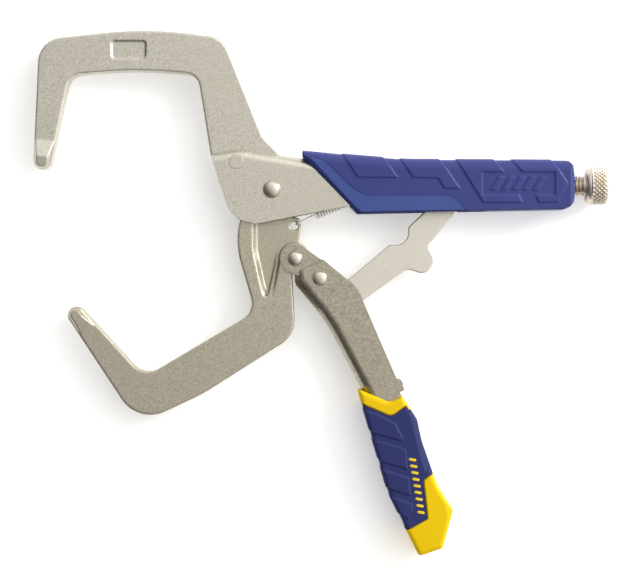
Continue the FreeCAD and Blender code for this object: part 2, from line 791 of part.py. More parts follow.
def make_screw_knob():
    body = new_body("screw_knob")
    sketch = new_sketch(body, "knob_section", ("dimensions.knob_start_x", "dimensions.screw_y", ""))
    neck = "dimensions.knob_radius - dimensions.knob_collar_groove"
    draw_profile(sketch, [
        ("0", "dimensions.knob_bore"),
        ("0", neck),
        ("dimensions.knob_collar", neck),
        ("dimensions.knob_collar + dimensions.knob_collar_groove", "dimensions.knob_radius"),
        ("dimensions.knob_length", "dimensions.knob_radius"),
        ("dimensions.knob_length", "0"),
        ("dimensions.knob_stub_length + dimensions.knob_stub_gap", "0"),
        ("dimensions.knob_stub_length + dimensions.knob_stub_gap", "dimensions.knob_bore"),
    ])
    turned = add(body, "Revolution", "knob_turned", sketch, ReferenceAxis=(sketch, ["H_Axis"]))
    front = rim_edges(turned, values["knob_start_x"], values["knob_radius"])
    rounded = round_edges(body, turned, front, "knob_front_round", "knob_front_rim")
    rear = rim_edges(rounded, values["knob_start_x"] + values["knob_length"], values["knob_radius"])
    round_edges(body, rounded, rear, "knob_shoulder", "knob_rear_rim")
    end_x = "dimensions.knob_start_x + dimensions.knob_length"
    socket = new_sketch(body, "hex_outline", (end_x, "dimensions.screw_y", ""), Vector(0, 1, 0), 90)
    flat = "dimensions.hex_across_flats * 0.5"
    corner = "dimensions.hex_across_flats * 0.5 / cos(30 deg)"
    draw_profile(socket, [
        ("0", corner), ("-" + flat, corner + " * 0.5"), ("-" + flat, "-" + corner + " * 0.5"),
        ("0", "-" + corner), (flat, "-" + corner + " * 0.5"), (flat, corner + " * 0.5"),
    ])
    add(body, "Pocket", "hex_socket", socket, Length="dimensions.hex_depth")
    return body


# ---------------------------------------------------------------- return spring

def make_return_spring():
    """A coil with a hook at each end: one in the moving jaw's hole, one in the handle's post."""
    wire = values["spring_wire"] / 2
    coil = values["spring_coil_radius"]
    pitch = values["spring_pitch"]
    length = pitch * values["spring_turns"]
    start = Vector(values["spring_coil_start_x"], values["spring_coil_start_y"], 0)
    post = Vector(values["spring_post_x"], values["spring_post_y"], 0)
    hole = Vector(values["spring_hole_x"], values["spring_hole_y"], 0)
    along = (post - start).normalize()
    turn = Rotation(Vector(0, 0, 1), along)
    helix = Part.makeHelix(pitch, length, coil)
    first = helix.Vertexes[0].Point
    section = Part.Wire([Part.makeCircle(wire, first, Vector(0, 1, 0))])
    spring = Part.Wire(helix.Edges).makePipeShell([section], True, True)
    spring.Placement = Placement(start, turn)
    helix.Placement = Placement(start, turn)
    ends = sorted((vertex.Point for vertex in helix.Vertexes), key=lambda point: point.x)
    lift = wire + values["spring_gap"]
    front_rise = Vector(0, 0, values["jaw_thickness"] / 2 - values["web_depth"] + lift)
    rear_rise = Vector(0, 0, values["spring_post_thickness"] / 2 + lift)
    front_neck = start - along * values["spring_front_lead"]
    front_turn = hole + along * values["spring_front_rise"] + front_rise
    rear_neck = start + along * (length + values["spring_rear_lead"])
    rear_turn = post - along * values["spring_rear_rise"] + rear_rise
    routes = (
        [ends[0], front_neck, front_turn, hole + front_rise, hole - front_rise],
        [ends[-1], rear_neck, rear_turn, post + rear_rise, post - rear_rise],
    )
    solids = [spring]
    for stops in routes:
        for begin, finish in zip(stops, stops[1:]):
            run = finish - begin
            solids.append(Part.makeCylinder(wire, run.Length, begin, run))
            solids.append(Part.makeSphere(wire, begin))
    shape = solids[0].multiFuse(solids[1:]).removeSplitter()
    feature = doc.addObject("Part::Feature", "return_spring")
    feature.Label = "return_spring"
    feature.Shape = shape
    return feature


# ---------------------------------------------------------------- moulded grips

def make_upper_grip():
    body = new_body("upper_grip")
    blank = pad_outline(body, "upper_grip", "grip_thickness")
    half = values["grip_thickness"] / 2
    top = []
    for first, second in (("tip", "top_front"), ("top_front", "top_mid"), ("top_mid", "top_rear")):
        top += edges_near(blank, half, "upper_grip_" + first, "upper_grip_" + second, GRIP_EDGE_REACH)
    round_edges(body, blank, sorted(set(top)), "upper_grip_top_round", "grip_back")
    cut_outline(body, "handle", "handle_width", "handle_seat")
    cut_outline(body, "upper_grip_slot", "handle_inside")
    tail_rear = ("dimensions.handle_tail_top_rear_x", "dimensions.screw_y", "")
    sketch = new_sketch(body, "screw_hole_circle", tail_rear, Vector(0, 1, 0), 90)
    draw_circle(sketch, "", "upper_grip_screw_hole")
    add(body, "Pocket", "screw_hole", sketch, Length="dimensions.upper_grip_hole_depth", Reversed=True)
    return body


def make_lower_grip():
    """The core and its overmoulded sleeve share one outer shape, parted along the sleeve's outline."""
    blank_body = new_body("lower_grip_blank")
    blank = pad_outline(blank_body, "lower_grip", "grip_thickness")
    edges = face_edges(blank, values["grip_thickness"] / 2)
    round_edges(blank_body, blank, edges, "lower_grip_round", "grip_edges")
    cut_outline(blank_body, "lever", "lever_width", "lever_seat")
    ring = new_body("sleeve_ring")
    pad_outline(ring, "sleeve", "ring_thickness")
    cut_outline(ring, "waist", "sleeve_waist_thickness")
    core = doc.addObject("Part::Cut", "lower_grip_core")
    core.Base = blank_body
    core.Tool = ring
    core.Label = "lower_grip_core"
    sleeve = doc.addObject("Part::Common", "lower_grip_sleeve")
    sleeve.Base = blank_body
    sleeve.Tool = ring
    sleeve.Label = "lower_grip_sleeve"
    doc.recompute()
    return core, sleeve


# ---------------------------------------------------------------- assembly and files

lower_grip_core, lower_grip_sleeve = make_lower_grip()
parts = [
    make_upper_handle(),
    make_fixed_jaw(),
    make_fixed_jaw_rivet(),
    make_moving_jaw(),
    make_pivot_rivet("jaw_pivot_rivet", "jaw_pivot", "", "handle_width"),
    make_lever(),
    make_pivot_rivet("lever_pivot_rivet", "lever_pivot", "lever_pivot", "lever_ear_width"),
    make_toggle_link(),
    make_pivot_rivet("link_pivot_rivet", "link_pivot", "link_pivot", "lever_width"),
    make_adjusting_screw(),
    make_screw_knob(),
    make_return_spring(),
    make_upper_grip(),
    lower_grip_core,
    lower_grip_sleeve,
]

whole = Part.makeCompound([part.Shape for part in parts]).optimalBoundingBox(False, False)
rest_centre = Vector(whole.Center.x, whole.Center.y, whole.ZMin)
for part in parts:
    part.Placement = Placement(-rest_centre, Rotation())
doc.recompute()

for item in doc.Objects:
    if "Invalid" in item.State or "Error" in item.State:
        raise RuntimeError("%s is in state %s" % (item.Name, item.State))
os.makedirs("parts", exist_ok=True)
for part in parts:
    shape = part.Shape
    if shape.isNull() or not shape.isValid() or len(shape.Solids) != 1:
        raise RuntimeError("%s is not one valid solid" % part.Label)
    shape.exportStep("parts/%s.step" % part.Label)
    box = shape.optimalBoundingBox(False, False)
    print("%-20s volume %9.1f  x %7.2f %7.2f  y %7.2f %7.2f  z %6.2f %6.2f" % (
        part.Label, shape.Volume, box.XMin, box.XMax, box.YMin, box.YMax, box.ZMin, box.ZMax))
print("jaw pivot at %.3f %.3f %.3f" % tuple(-rest_centre))
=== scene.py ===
"""The looks of the locking C clamp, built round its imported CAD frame.

Lengths are millimetres, measured from the jaw pivot: x towards the adjusting screw, y towards the
back of the fixed jaw and z up from the clamp's middle plane. place() turns them into the frame.
"""

import bmesh
import bpy
import numpy as np
from math import cos, pi, radians, sin, sqrt
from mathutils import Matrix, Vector


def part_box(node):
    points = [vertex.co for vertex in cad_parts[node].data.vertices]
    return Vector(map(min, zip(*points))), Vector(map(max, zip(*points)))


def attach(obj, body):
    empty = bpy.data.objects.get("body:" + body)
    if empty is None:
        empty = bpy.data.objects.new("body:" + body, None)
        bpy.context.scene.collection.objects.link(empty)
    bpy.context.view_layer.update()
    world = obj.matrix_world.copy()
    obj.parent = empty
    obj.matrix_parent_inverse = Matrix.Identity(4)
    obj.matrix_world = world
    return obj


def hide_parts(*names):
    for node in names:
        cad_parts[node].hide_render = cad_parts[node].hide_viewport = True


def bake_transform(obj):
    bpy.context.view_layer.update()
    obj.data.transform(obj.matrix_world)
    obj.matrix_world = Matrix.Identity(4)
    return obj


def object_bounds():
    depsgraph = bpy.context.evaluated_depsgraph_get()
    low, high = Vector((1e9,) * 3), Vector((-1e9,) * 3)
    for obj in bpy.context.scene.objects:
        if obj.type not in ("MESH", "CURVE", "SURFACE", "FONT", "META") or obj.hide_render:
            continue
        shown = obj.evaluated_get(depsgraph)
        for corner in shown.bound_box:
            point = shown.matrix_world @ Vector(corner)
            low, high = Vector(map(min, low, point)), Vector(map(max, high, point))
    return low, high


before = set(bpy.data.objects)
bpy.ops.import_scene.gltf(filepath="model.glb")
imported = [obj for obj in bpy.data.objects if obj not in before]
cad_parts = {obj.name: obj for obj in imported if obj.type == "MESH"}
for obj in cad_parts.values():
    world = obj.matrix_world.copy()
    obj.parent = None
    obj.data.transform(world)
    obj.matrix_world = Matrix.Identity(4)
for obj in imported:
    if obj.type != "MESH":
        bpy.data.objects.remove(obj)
cad_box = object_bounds()

MM = 0.001
pivot_low, pivot_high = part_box("jaw_pivot_rivet")
PIVOT = (pivot_low + pivot_high) / 2


def place(x, y, z=0.0):
    return PIVOT + Vector((x, y, z)) * MM


# ---------------------------------------------------------------- materials

FINE_GRAIN = 1250                # noise scales, in cells per metre
COARSE_GRAIN = 620
STEEL_DRIFT = 24
MOULD_GRAIN = 1500
MOULD_SCUFFS = 260
MOULD_DRIFT = 30
PAPER_DRIFT = 6
COARSE_RELIEF = 0.05 * MM
FINE_RELIEF = 0.03 * MM
STEEL_BUMP = 0.6
MOULD_BUMP = 0.7
PIT_DARKNESS = 2.4               # times the grain's contrast
PIT_SHARE = 0.8
WARM_TINT = (1.0, 0.985, 0.955)
WARM_SHARE = 0.35
GRAIN_RANGE = (0.34, 0.66)       # the part of each noise's range that is used
PIT_RANGE = (0.58, 0.80)
WARM_RANGE = (0.40, 0.62)
GLOSS_RANGE = (0.3, 0.7)
MOULD_RANGE = (0.35, 0.7)
SCUFF_RANGE = (0.4, 0.72)
PAPER_RANGE = (0.3, 0.7)
SMOOTHER = 0.04                  # how far the gloss noise moves a roughness down and up
STEEL_ROUGHER = 0.05
MOULD_ROUGHER = 0.10
SCUFF_STRETCH = (1.0, 3.0, 1.0)


class Shader:
    """A material under construction: makes nodes, links them and sets their inputs."""

    def __init__(self, name):
        self.material = bpy.data.materials.new(name)
        self.material.use_nodes = True
        self.tree = self.material.node_tree
        self.surface = self.tree.nodes["Principled BSDF"]
        coordinates = self.tree.nodes.new("ShaderNodeTexCoord")
        self.position = coordinates.outputs["Object"]

    def node(self, kind, inputs=(), **settings):
        made = self.tree.nodes.new("ShaderNode" + kind)
        for key, value in settings.items():
            setattr(made, key, value)
        for key, value in dict(inputs).items():
            self.feed(made.inputs[key], value)
        return made

    def feed(self, socket, value):
        if isinstance(value, bpy.types.NodeSocket):
            self.tree.links.new(value, socket)
        else:
            socket.default_value = value

    def noise(self, scale, detail, roughness=0.55, stretch=None):
        position = self.position
        if stretch:
            mapping = self.node("Mapping", {"Vector": position, "Scale": stretch})
            position = mapping.outputs["Vector"]
        texture = self.node("TexNoise", {
            "Vector": position, "Scale": scale, "Detail": detail, "Roughness": roughness})
        return texture.outputs["Fac"]

    def spread(self, value, low, high, to_low=0.0, to_high=1.0):
        """Maps a value's range low..high to to_low..to_high."""
        made = self.node("MapRange", {
            "Value": value, "From Min": low, "From Max": high, "To Min": to_low, "To Max": to_high})
        return made.outputs["Result"]

    def mix(self, factor, first, second):
        made = self.node("Mix", data_type="RGBA")
        self.feed(made.inputs[0], factor)
        self.feed(made.inputs[6], first)
        self.feed(made.inputs[7], second)
        return made.outputs[2]

    def bump(self, height, distance, strength, normal=None):
        made = self.node("Bump", {"Height": height, "Distance": distance, "Strength": strength})
        if normal is not None:
            self.feed(made.inputs["Normal"], normal)
        return made.outputs["Normal"]

    def vary(self, colour, roughness, normal):
        """Links what varies over the surface to the shader."""
        self.feed(self.surface.inputs["Base Color"], colour)
        self.feed(self.surface.inputs["Roughness"], roughness)
        self.feed(self.surface.inputs["Normal"], normal)

    def set(self, **values):
        """Sets what is the same all over the surface."""
        for key, value in values.items():
            self.surface.inputs[key.replace("_", " ")].default_value = value


def steel(name, colour, roughness, grain=1.0, grain_size=1.0, contrast=0.17, metallic=1.0):
    """Satin-plated, shot-blasted steel: an even grain, a few dark pits and an uneven gloss."""
    shader = Shader(name)
    fine = shader.noise(FINE_GRAIN / grain_size, detail=2.0, roughness=0.6)
    coarse = shader.noise(COARSE_GRAIN / grain_size, detail=2.0, roughness=0.6)
    drift = shader.noise(STEEL_DRIFT, detail=2.0, roughness=0.5)
    light = tuple(min(1.0, part * (1 + contrast)) for part in colour)
    dark = tuple(part * (1 - contrast) for part in colour)
    pit = tuple(part * (1 - PIT_DARKNESS * contrast) for part in colour)
    warm = tuple(part * tint for part, tint in zip(colour, WARM_TINT))
    tone = shader.mix(shader.spread(fine, *GRAIN_RANGE), (*dark, 1), (*light, 1))
    tone = shader.mix(shader.spread(coarse, *PIT_RANGE, to_high=PIT_SHARE), tone, (*pit, 1))
    tone = shader.mix(shader.spread(drift, *WARM_RANGE, to_high=WARM_SHARE), tone, (*warm, 1))
    gloss = shader.spread(coarse, *GLOSS_RANGE, roughness - SMOOTHER, roughness + STEEL_ROUGHER)
    relief = shader.bump(coarse, COARSE_RELIEF * grain * grain_size, STEEL_BUMP)
    relief = shader.bump(fine, FINE_RELIEF * grain * grain_size, STEEL_BUMP, relief)
    shader.vary(tone, gloss, relief)
    shader.set(Metallic=metallic)
    return shader.material


def moulded(name, colour, deep, roughness, gloss):
    """Matt moulded grip: a fine texture, a slight drift in tone and a soft sheen."""
    shader = Shader(name)
    fine = shader.noise(MOULD_GRAIN, detail=2.0, roughness=0.5)
    drift = shader.noise(MOULD_DRIFT, detail=3.0, roughness=0.5)
    scuffs = shader.noise(MOULD_SCUFFS, detail=5.0, roughness=0.7, stretch=SCUFF_STRETCH)
    tone = shader.mix(shader.spread(drift, *MOULD_RANGE), (*colour, 1), (*deep, 1))
    wear = shader.spread(scuffs, *SCUFF_RANGE, roughness - SMOOTHER, roughness + MOULD_ROUGHER)
    relief = shader.bump(fine, FINE_RELIEF / 2, MOULD_BUMP)
    shader.vary(tone, wear, relief)
    shader.set(Specular_IOR_Level=gloss)
    return shader.material


PLAIN = {"grain": 0.3, "contrast": 0.05}
STEELS = {
    "frame_steel": {"colour": (0.610, 0.582, 0.503), "roughness": 0.38},
    "jaw_steel": {"colour": (0.490, 0.452, 0.362), "roughness": 0.38},
    "lever_steel": {"colour": (0.440, 0.400, 0.320), "roughness": 0.36,
                    "grain": 1.7, "grain_size": 1.35, "contrast": 0.24},
    "link_steel": {"colour": (0.715, 0.680, 0.605), "roughness": 0.42,
                   "grain": 0.5, "contrast": 0.05},
    "rivet_steel": {"colour": (0.600, 0.560, 0.480), "roughness": 0.30, **PLAIN},
    "screw_steel": {"colour": (0.560, 0.500, 0.410), "roughness": 0.26,
                    "grain": 0.3, "contrast": 0.06},
    "knob_steel": {"colour": (0.660, 0.590, 0.500), "roughness": 0.36, **PLAIN},
    # The spring's colour is its own pale silver, lightened further as painted light that stands in
    # for the light the coil lacks in the shade under the handle.
    "spring_steel": {"colour": (0.950, 0.940, 0.910), "roughness": 0.30, "grain": 0.2,
                     "contrast": 0.04, "metallic": 0.45},
}
MOULDINGS = {
    "grip_blue": {"colour": (0.036, 0.048, 0.205), "deep": (0.032, 0.043, 0.188),
                  "roughness": 0.46, "gloss": 0.3},
    "band_blue": {"colour": (0.040, 0.072, 0.265), "deep": (0.036, 0.064, 0.245),
                  "roughness": 0.40, "gloss": 0.4},
    "mark_yellow": {"colour": (0.850, 0.600, 0.030), "deep": (0.820, 0.570, 0.025),
                    "roughness": 0.5, "gloss": 0.2},
    "grip_yellow": {"colour": (0.800, 0.535, 0.002), "deep": (0.770, 0.500, 0.002),
                    "roughness": 0.46, "gloss": 0.12},
    "sleeve_blue": {"colour": (0.021, 0.027, 0.128), "deep": (0.018, 0.024, 0.116),
                    "roughness": 0.50, "gloss": 0.25},
}
LOOKS = {name: steel(name, **settings) for name, settings in STEELS.items()}
LOOKS.update({name: moulded(name, **settings) for name, settings in MOULDINGS.items()})


def dress(piece, look):
    piece.data.materials.clear()
    piece.data.materials.append(LOOKS[look])


# ---------------------------------------------------------------- mesh helpers

WELD_DISTANCE = 0.002 * MM
FLAT_ANGLE = 0.6                 # degrees between faces that count as one flat
SOFT_ANGLE = 60                  # degrees below which a dense mesh is shaded smooth


def new_piece(name, mesh, body, look, replaced=()):
    """Adds a piece. With no body, it is left unattached."""
    piece = bpy.data.objects.new(name, mesh)
    bpy.context.scene.collection.objects.link(piece)
    dress(piece, look)
    if body:
        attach(piece, body)
    if replaced:
        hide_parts(*replaced)
    return piece


def applied(source_mesh, kind, **settings):
    """A copy of a mesh with one modifier applied."""
    helper = bpy.data.objects.new("helper", source_mesh)
    bpy.context.scene.collection.objects.link(helper)
    modifier = helper.modifiers.new(kind, kind)
    for key, value in settings.items():
        setattr(modifier, key, value)
    bpy.context.view_layer.update()
    evaluated = helper.evaluated_get(bpy.context.evaluated_depsgraph_get())
    result = bpy.data.meshes.new_from_object(evaluated)
    bpy.data.objects.remove(helper)
    return result


def welded(node):
    """A node's mesh with its split vertices joined and its flat faces merged."""
    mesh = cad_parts[node].data.copy()
    form = bmesh.new()
    form.from_mesh(mesh)
    bmesh.ops.remove_doubles(form, verts=form.verts, dist=WELD_DISTANCE)
    bmesh.ops.dissolve_limit(form, angle_limit=radians(FLAT_ANGLE), verts=form.verts,
                             edges=form.edges)
    form.to_mesh(mesh)
    form.free()
    mesh.materials.clear()
    return mesh


def dense(node, voxel):
    return applied(welded(node), "REMESH", mode="VOXEL", voxel_size=voxel * MM, adaptivity=0.0)


def shade(mesh, angle):
    mesh.shade_smooth()
    mesh.set_sharp_from_angle(angle=radians(angle))


def skin(form, rings):
    """Faces between each closed ring of points and the next."""
    for ring, following in zip(rings, rings[1:]):
        for j in range(len(ring)):
            k = (j + 1) % len(ring)
            form.faces.new((ring[j], ring[k], following[k], following[j]))


def finished(form, name, crease):
    """The shaded mesh of a form."""
    bmesh.ops.recalc_face_normals(form, faces=form.faces)
    mesh = bpy.data.meshes.new(name)
    form.to_mesh(mesh)
    form.free()
    shade(mesh, crease)
    return mesh


def forged(node, body, record_slot, voxel, passes):
    """Stands for a forged CAD node, with every edge softened as a forging's is."""
    mesh = applied(dense(node, voxel), "SMOOTH", factor=0.5, iterations=passes)
    shade(mesh, SOFT_ANGLE)
    new_piece(node + "_look", mesh, body, record_slot, (node,))


def eased(node, body, record_slot, width, angle=30, crease=24, source=None):
    """Stands for a CAD node with its sharp edges eased to a small radius."""
    mesh = applied(source or welded(node), "BEVEL", width=width * MM, segments=3,
                   limit_method="ANGLE", angle_limit=radians(angle), use_clamp_overlap=True,
                   harden_normals=False, miter_outer="MITER_ARC")
    shade(mesh, crease)
    mesh = applied(mesh, "WEIGHTED_NORMAL", mode="FACE_AREA", weight=90, keep_sharp=True)
    new_piece(node + "_look", mesh, body, record_slot, (node,))


def read_points(mesh):
    points = np.empty(len(mesh.vertices) * 3)
    mesh.vertices.foreach_get("co", points)
    return (points.reshape(-1, 3) - np.array(PIVOT)) / MM


def write_points(mesh, points):
    mesh.vertices.foreach_set("co", (points * MM + np.array(PIVOT)).ravel())
    mesh.update()


def read_normals(mesh):
    normals = np.empty(len(mesh.vertices) * 3)
    mesh.vertex_normals.foreach_get("vector", normals)
    return normals.reshape(-1, 3)


def edge_distance(points, outline, closed=True):
    """How far each point lies from a polyline in the XY plane."""
    xy = points[:, :2]
    nearest = np.full(len(xy), np.inf)
    ends = outline[1:] + outline[:1] if closed else outline[1:]
    for start, end in zip(outline, ends):
        a = np.array(start, float)
        run = np.array(end, float) - a
        share = np.clip(((xy - a) @ run) / (run @ run), 0, 1)
        nearest = np.minimum(nearest, np.linalg.norm(xy - a - share[:, None] * run, axis=1))
    return nearest


def inside(points, outline):
    """True where a point lies within a closed outline in the XY plane."""
    x, y = points[:, 0], points[:, 1]
    result = np.zeros(len(points), bool)
    for (x0, y0), (x1, y1) in zip(outline, outline[1:] + outline[:1]):
        if y0 != y1:
            crosses = ((y0 > y) != (y1 > y)) & (x < (x1 - x0) * (y - y0) / (y1 - y0) + x0)
            result ^= crosses
    return result


def signed_distance(points, outline):
    """Positive inside a closed outline, negative outside it."""
    distance = edge_distance(points, outline)
    return np.where(inside(points, outline), distance, -distance)


def ramp(value, start, end):
    share = np.clip((value - start) / (end - start), 0, 1)
    return share * share * (3 - 2 * share)


# ---------------------------------------------------------------- grips

HALF_GRIP = 10.5                 # from the middle plane to a grip's faces
PANEL_DEPTH = 0.5                # of the grooves between the upper grip's panels
PANEL_EDGE = 0.32
WALL_LIMIT = 1.9                 # keeps the steel under the grip covered
BAND_DROP = 0.25                 # of the front band below those grooves
BAND_EDGE = 0.5
BAND_LEVEL = 9.6                 # the band's own blue is kept to faces beyond this
BADGE_RISE = 0.42                # of the badge's ribs above their panel
UPPER_VOXEL = 0.32
UPPER_SEAT = 8.0                 # half the width of the steel in the upper grip
SEAT_MARGIN = 0.35
INWARD = -0.3                    # a face that looks this far towards the middle plane is inside
UPWARD = 0.4
UPPER_BACK = 12.0                # beyond this y, faces that look up are outside
CHAMFER_SLOPE = 0.62             # of the upper grip's front edge
CHAMFER_FALL = 1.4
REAR_START = 141.4               # where the upper grip's faces begin to round off at the rear
REAR_LENGTH = 2.6
REAR_SLOPE = 0.75
TIP_CENTRE = (16.2, 17.3)        # the rounded front tip of the upper grip
TIP_RADIUS = 1.75

upper_panels = [
    [(33.0, 18.2), (33.6, 16.9), (40.8, 5.6), (59.8, 5.4), (53.0, 15.5), (52.0, 18.2)],
    [(59.6, 17.5), (60.7, 15.0), (67.3, 5.4), (79.0, 5.2), (81.8, 0.5), (89.3, 0.2), (79.7, 14.5),
     (78.4, 17.5)],
    [(86.4, 17.0), (87.4, 14.6), (100.2, -6.3), (118.9, -6.3), (117.3, -2.8), (99.9, -2.8),
     (99.9, 8.1), (110.2, 8.1), (105.3, 14.9), (104.2, 17.0)],
    [(112.2, 17.0), (113.5, 14.6), (118.9, 8.1), (134.5, 8.1), (134.5, -2.8), (125.2, -2.8),
     (126.6, -6.3), (135.8, -6.1), (140.4, 2.9), (133.4, 13.5), (131.0, 17.0)],
]
band_line = [(17.0, 17.6), (23.5, 14.6), (27.0, 12.2), (31.6, 7.5), (39.1, 0.5), (42.9, -1.9),
             (46.6, -2.7), (83.2, -2.7), (86.6, -3.8), (89.6, -6.0), (92.8, -10.6)]
band_region = band_line + [(92.8, -20.0), (0.0, -20.0), (0.0, 17.6)]
front_line = [(13.2, 18.4), (16.2, 17.3), (39.4, -7.9), (43.2, -11.2), (44.0, -13.0)]
front_region = front_line + [(0.0, -13.0), (0.0, 30.0)]
rear_top = [(0.0, 60.0), (138.5, 60.0), (138.6, 14.4), (141.3, 13.5), (143.2, 11.3), (144.2, 4.3)]
rear_low = [(0.0, -60.0), (139.2, -60.0), (139.3, -9.4), (141.8, -8.2), (143.4, -6.1),
            (144.2, -2.0)]
rib_outline = [(103.6, -0.6), (107.6, 6.0), (110.4, 6.0), (106.4, -0.6)]
RIB_COUNT = 5
RIB_PITCH = 5.0
badge_ribs = [[(x + RIB_PITCH * i, y) for x, y in rib_outline] for i in range(RIB_COUNT)]


def under_ceiling(points, ceiling):
    """Lowers both faces to a height above the middle plane that may vary from place to place."""
    lowered = points.copy()
    lowered[:, 2] = np.sign(points[:, 2]) * np.minimum(np.abs(points[:, 2]), ceiling)
    return lowered


def relief(points, panels):
    """0 on raised panels and 1 between them, with a short slope along their edges."""
    raised = np.zeros(len(points))
    for outline in panels:
        raised = np.maximum(raised, ramp(signed_distance(points, outline), -PANEL_EDGE, PANEL_EDGE))
    return 1 - raised


def upper_skin(points, normals):
    """1 on the upper grip's outer faces and 0 on the seat that the steel fills."""
    facing = normals[:, 2] * np.sign(points[:, 2])
    seat = (np.abs(points[:, 2]) < UPPER_SEAT + SEAT_MARGIN) | (facing < INWARD)
    back = (normals[:, 1] > UPWARD) & (points[:, 1] > UPPER_BACK)
    return np.where(seat & ~back, 0.0, 1.0)


def rounded_ends(points):
    """Trims the upper grip's rear corners and rounds its front tip."""
    top_x, top_y = zip(*rear_top)
    low_x, low_y = zip(*rear_low)
    points[:, 1] = np.minimum(points[:, 1], np.interp(points[:, 0], top_x, top_y))
    points[:, 1] = np.maximum(points[:, 1], np.interp(points[:, 0], low_x, low_y))
    from_tip = points[:, :2] - np.array(TIP_CENTRE)
    reach = np.linalg.norm(from_tip, axis=1)
    corner = (from_tip[:, 0] < 0) & (from_tip[:, 1] > 0) & (reach > TIP_RADIUS)
    share = TIP_RADIUS / np.maximum(reach, TIP_RADIUS)
    pulled = np.array(TIP_CENTRE) + from_tip * share[:, None]
    points[:, :2] = np.where(corner[:, None], pulled, points[:, :2])
    return points


def paint_band(mesh):
    """Gives the front band's faces the second blue."""
    mesh.materials.append(LOOKS["band_blue"])
    centres = np.empty(len(mesh.polygons) * 3)
    mesh.polygons.foreach_get("center", centres)
    centres = (centres.reshape(-1, 3) - np.array(PIVOT)) / MM
    banded = inside(centres, band_region) & (np.abs(centres[:, 2]) > BAND_LEVEL)
    mesh.polygons.foreach_set("material_index", banded.astype(np.int32))


def make_upper_grip():
    mesh = dense("upper_grip", UPPER_VOXEL)
    points = read_points(mesh)
    normals = read_normals(mesh)
    outer = upper_skin(points, normals)
    from_band = edge_distance(points, band_line, closed=False)
    band_depth = PANEL_DEPTH + BAND_DROP * ramp(from_band, 0, BAND_EDGE)
    depth = PANEL_DEPTH * relief(points, upper_panels)
    depth = np.where(inside(points, band_region), band_depth, depth)
    depth -= BADGE_RISE * (1 - relief(points, badge_ribs))
    points = points - normals * (np.minimum(depth, WALL_LIMIT) * outer)[:, None]

    ahead = inside(points, front_region)
    from_front = edge_distance(points, front_line, closed=False)
    slope = np.minimum(CHAMFER_SLOPE * from_front, CHAMFER_FALL)
    chamfer = np.where(ahead, PANEL_DEPTH + BAND_DROP + slope, 0.0)
    rear = REAR_SLOPE * np.clip(points[:, 0] - REAR_START, 0, REAR_LENGTH)
    points = under_ceiling(points, HALF_GRIP - chamfer - rear)

    write_points(mesh, rounded_ends(points))
    shade(mesh, SOFT_ANGLE)
    new_piece("upper_grip_look", mesh, "handle", "grip_blue", ("upper_grip",))
    paint_band(mesh)


LOWER_VOXEL = 0.32
CORE_VOXEL = 0.38
SLEEVE_DEPTH = 0.45              # of the grooves between the sleeve's panels
SLEEVE_LEVEL = 9.0               # faces beyond this are outside
FORWARD = -0.5                   # a face that looks this far towards the jaws is the sleeve's front
LINING_DROP = 0.25               # keeps the sleeve's inner faces off the core
CORE_DROP = 0.4                  # keeps the core off the sleeve's inner faces
CORE_MARGIN = 0.3
FACET_SLOPE = 0.42
FACET_WIDTH = 6.0

sleeve_panels = [
    [(39.5, -103.2), (43.2, -104.7), (50.7, -107.1), (58.6, -111.5), (62.1, -118.0), (61.9, -119.5),
     (48.3, -115.8), (46.9, -114.8), (43.0, -113.4)],
    [(44.5, -118.1), (48.3, -119.4), (56.1, -121.3), (63.5, -123.7), (64.3, -133.0), (51.8, -129.2),
     (50.4, -128.1), (46.5, -126.8)],
    [(48.0, -131.4), (51.5, -132.7), (64.9, -137.1), (65.8, -145.5), (55.9, -142.2), (54.4, -141.7),
     (50.5, -140.4)],
    [(52.8, -144.6), (56.3, -145.9), (66.5, -149.6), (66.8, -151.8), (64.9, -156.4), (59.7, -153.9),
     (56.0, -152.5)],
]
sleeve_front = [(30.0, -96.0), (47.0, -96.0), (51.0, -118.0), (60.0, -146.0), (66.0, -160.0),
                (30.0, -160.0)]
sleeve_outline = [(38.0, -99.6), (56.6, -107.6), (68.0, -99.4), (90.0, -110.0), (90.0, -124.5),
                  (72.3, -138.4), (74.3, -156.6), (65.0, -162.0), (40.0, -155.0)]
facet_line = [(63.4, -101.5), (64.9, -108.8), (66.8, -116.9), (68.7, -124.5), (71.9, -135.4),
              (75.5, -135.3), (78.5, -142.0), (82.3, -149.6), (83.6, -156.0)]
facet_region = facet_line + [(110.0, -156.0), (110.0, -101.5)]


def lower_facet(points):
    """How far the long slanted facet down the palm side of the lower grip cuts in."""
    reach = np.minimum(edge_distance(points, facet_line, closed=False), FACET_WIDTH)
    return np.where(inside(points, facet_region), FACET_SLOPE * reach, 0.0)


def make_lower_sleeve():
    mesh = dense("lower_grip_sleeve", LOWER_VOXEL)
    points = read_points(mesh)
    normals = read_normals(mesh)
    front = (normals[:, 0] < FORWARD) & (signed_distance(points, sleeve_front) > 0)
    outer = np.where((np.abs(points[:, 2]) > SLEEVE_LEVEL) | front, 1.0, 0.0)
    depth = SLEEVE_DEPTH * relief(points, sleeve_panels)
    points = points - normals * (depth * outer)[:, None]
    lining = np.where(normals[:, 2] * np.sign(points[:, 2]) < INWARD, LINING_DROP, 0.0)
    write_points(mesh, under_ceiling(points, HALF_GRIP - lower_facet(points) - lining))
    shade(mesh, SOFT_ANGLE)
    new_piece("lower_grip_sleeve_look", mesh, "lever", "sleeve_blue",
              ("lower_grip_sleeve",))


def make_lower_core():
    mesh = dense("lower_grip_core", CORE_VOXEL)
    points = read_points(mesh)
    covered = np.where(signed_distance(points, sleeve_outline) > CORE_MARGIN, CORE_DROP, 0.0)
    write_points(mesh, under_ceiling(points, HALF_GRIP - lower_facet(points) - covered))
    shade(mesh, SOFT_ANGLE)
    new_piece("lower_grip_core_look", mesh, "lever", "grip_yellow",
              ("lower_grip_core",))


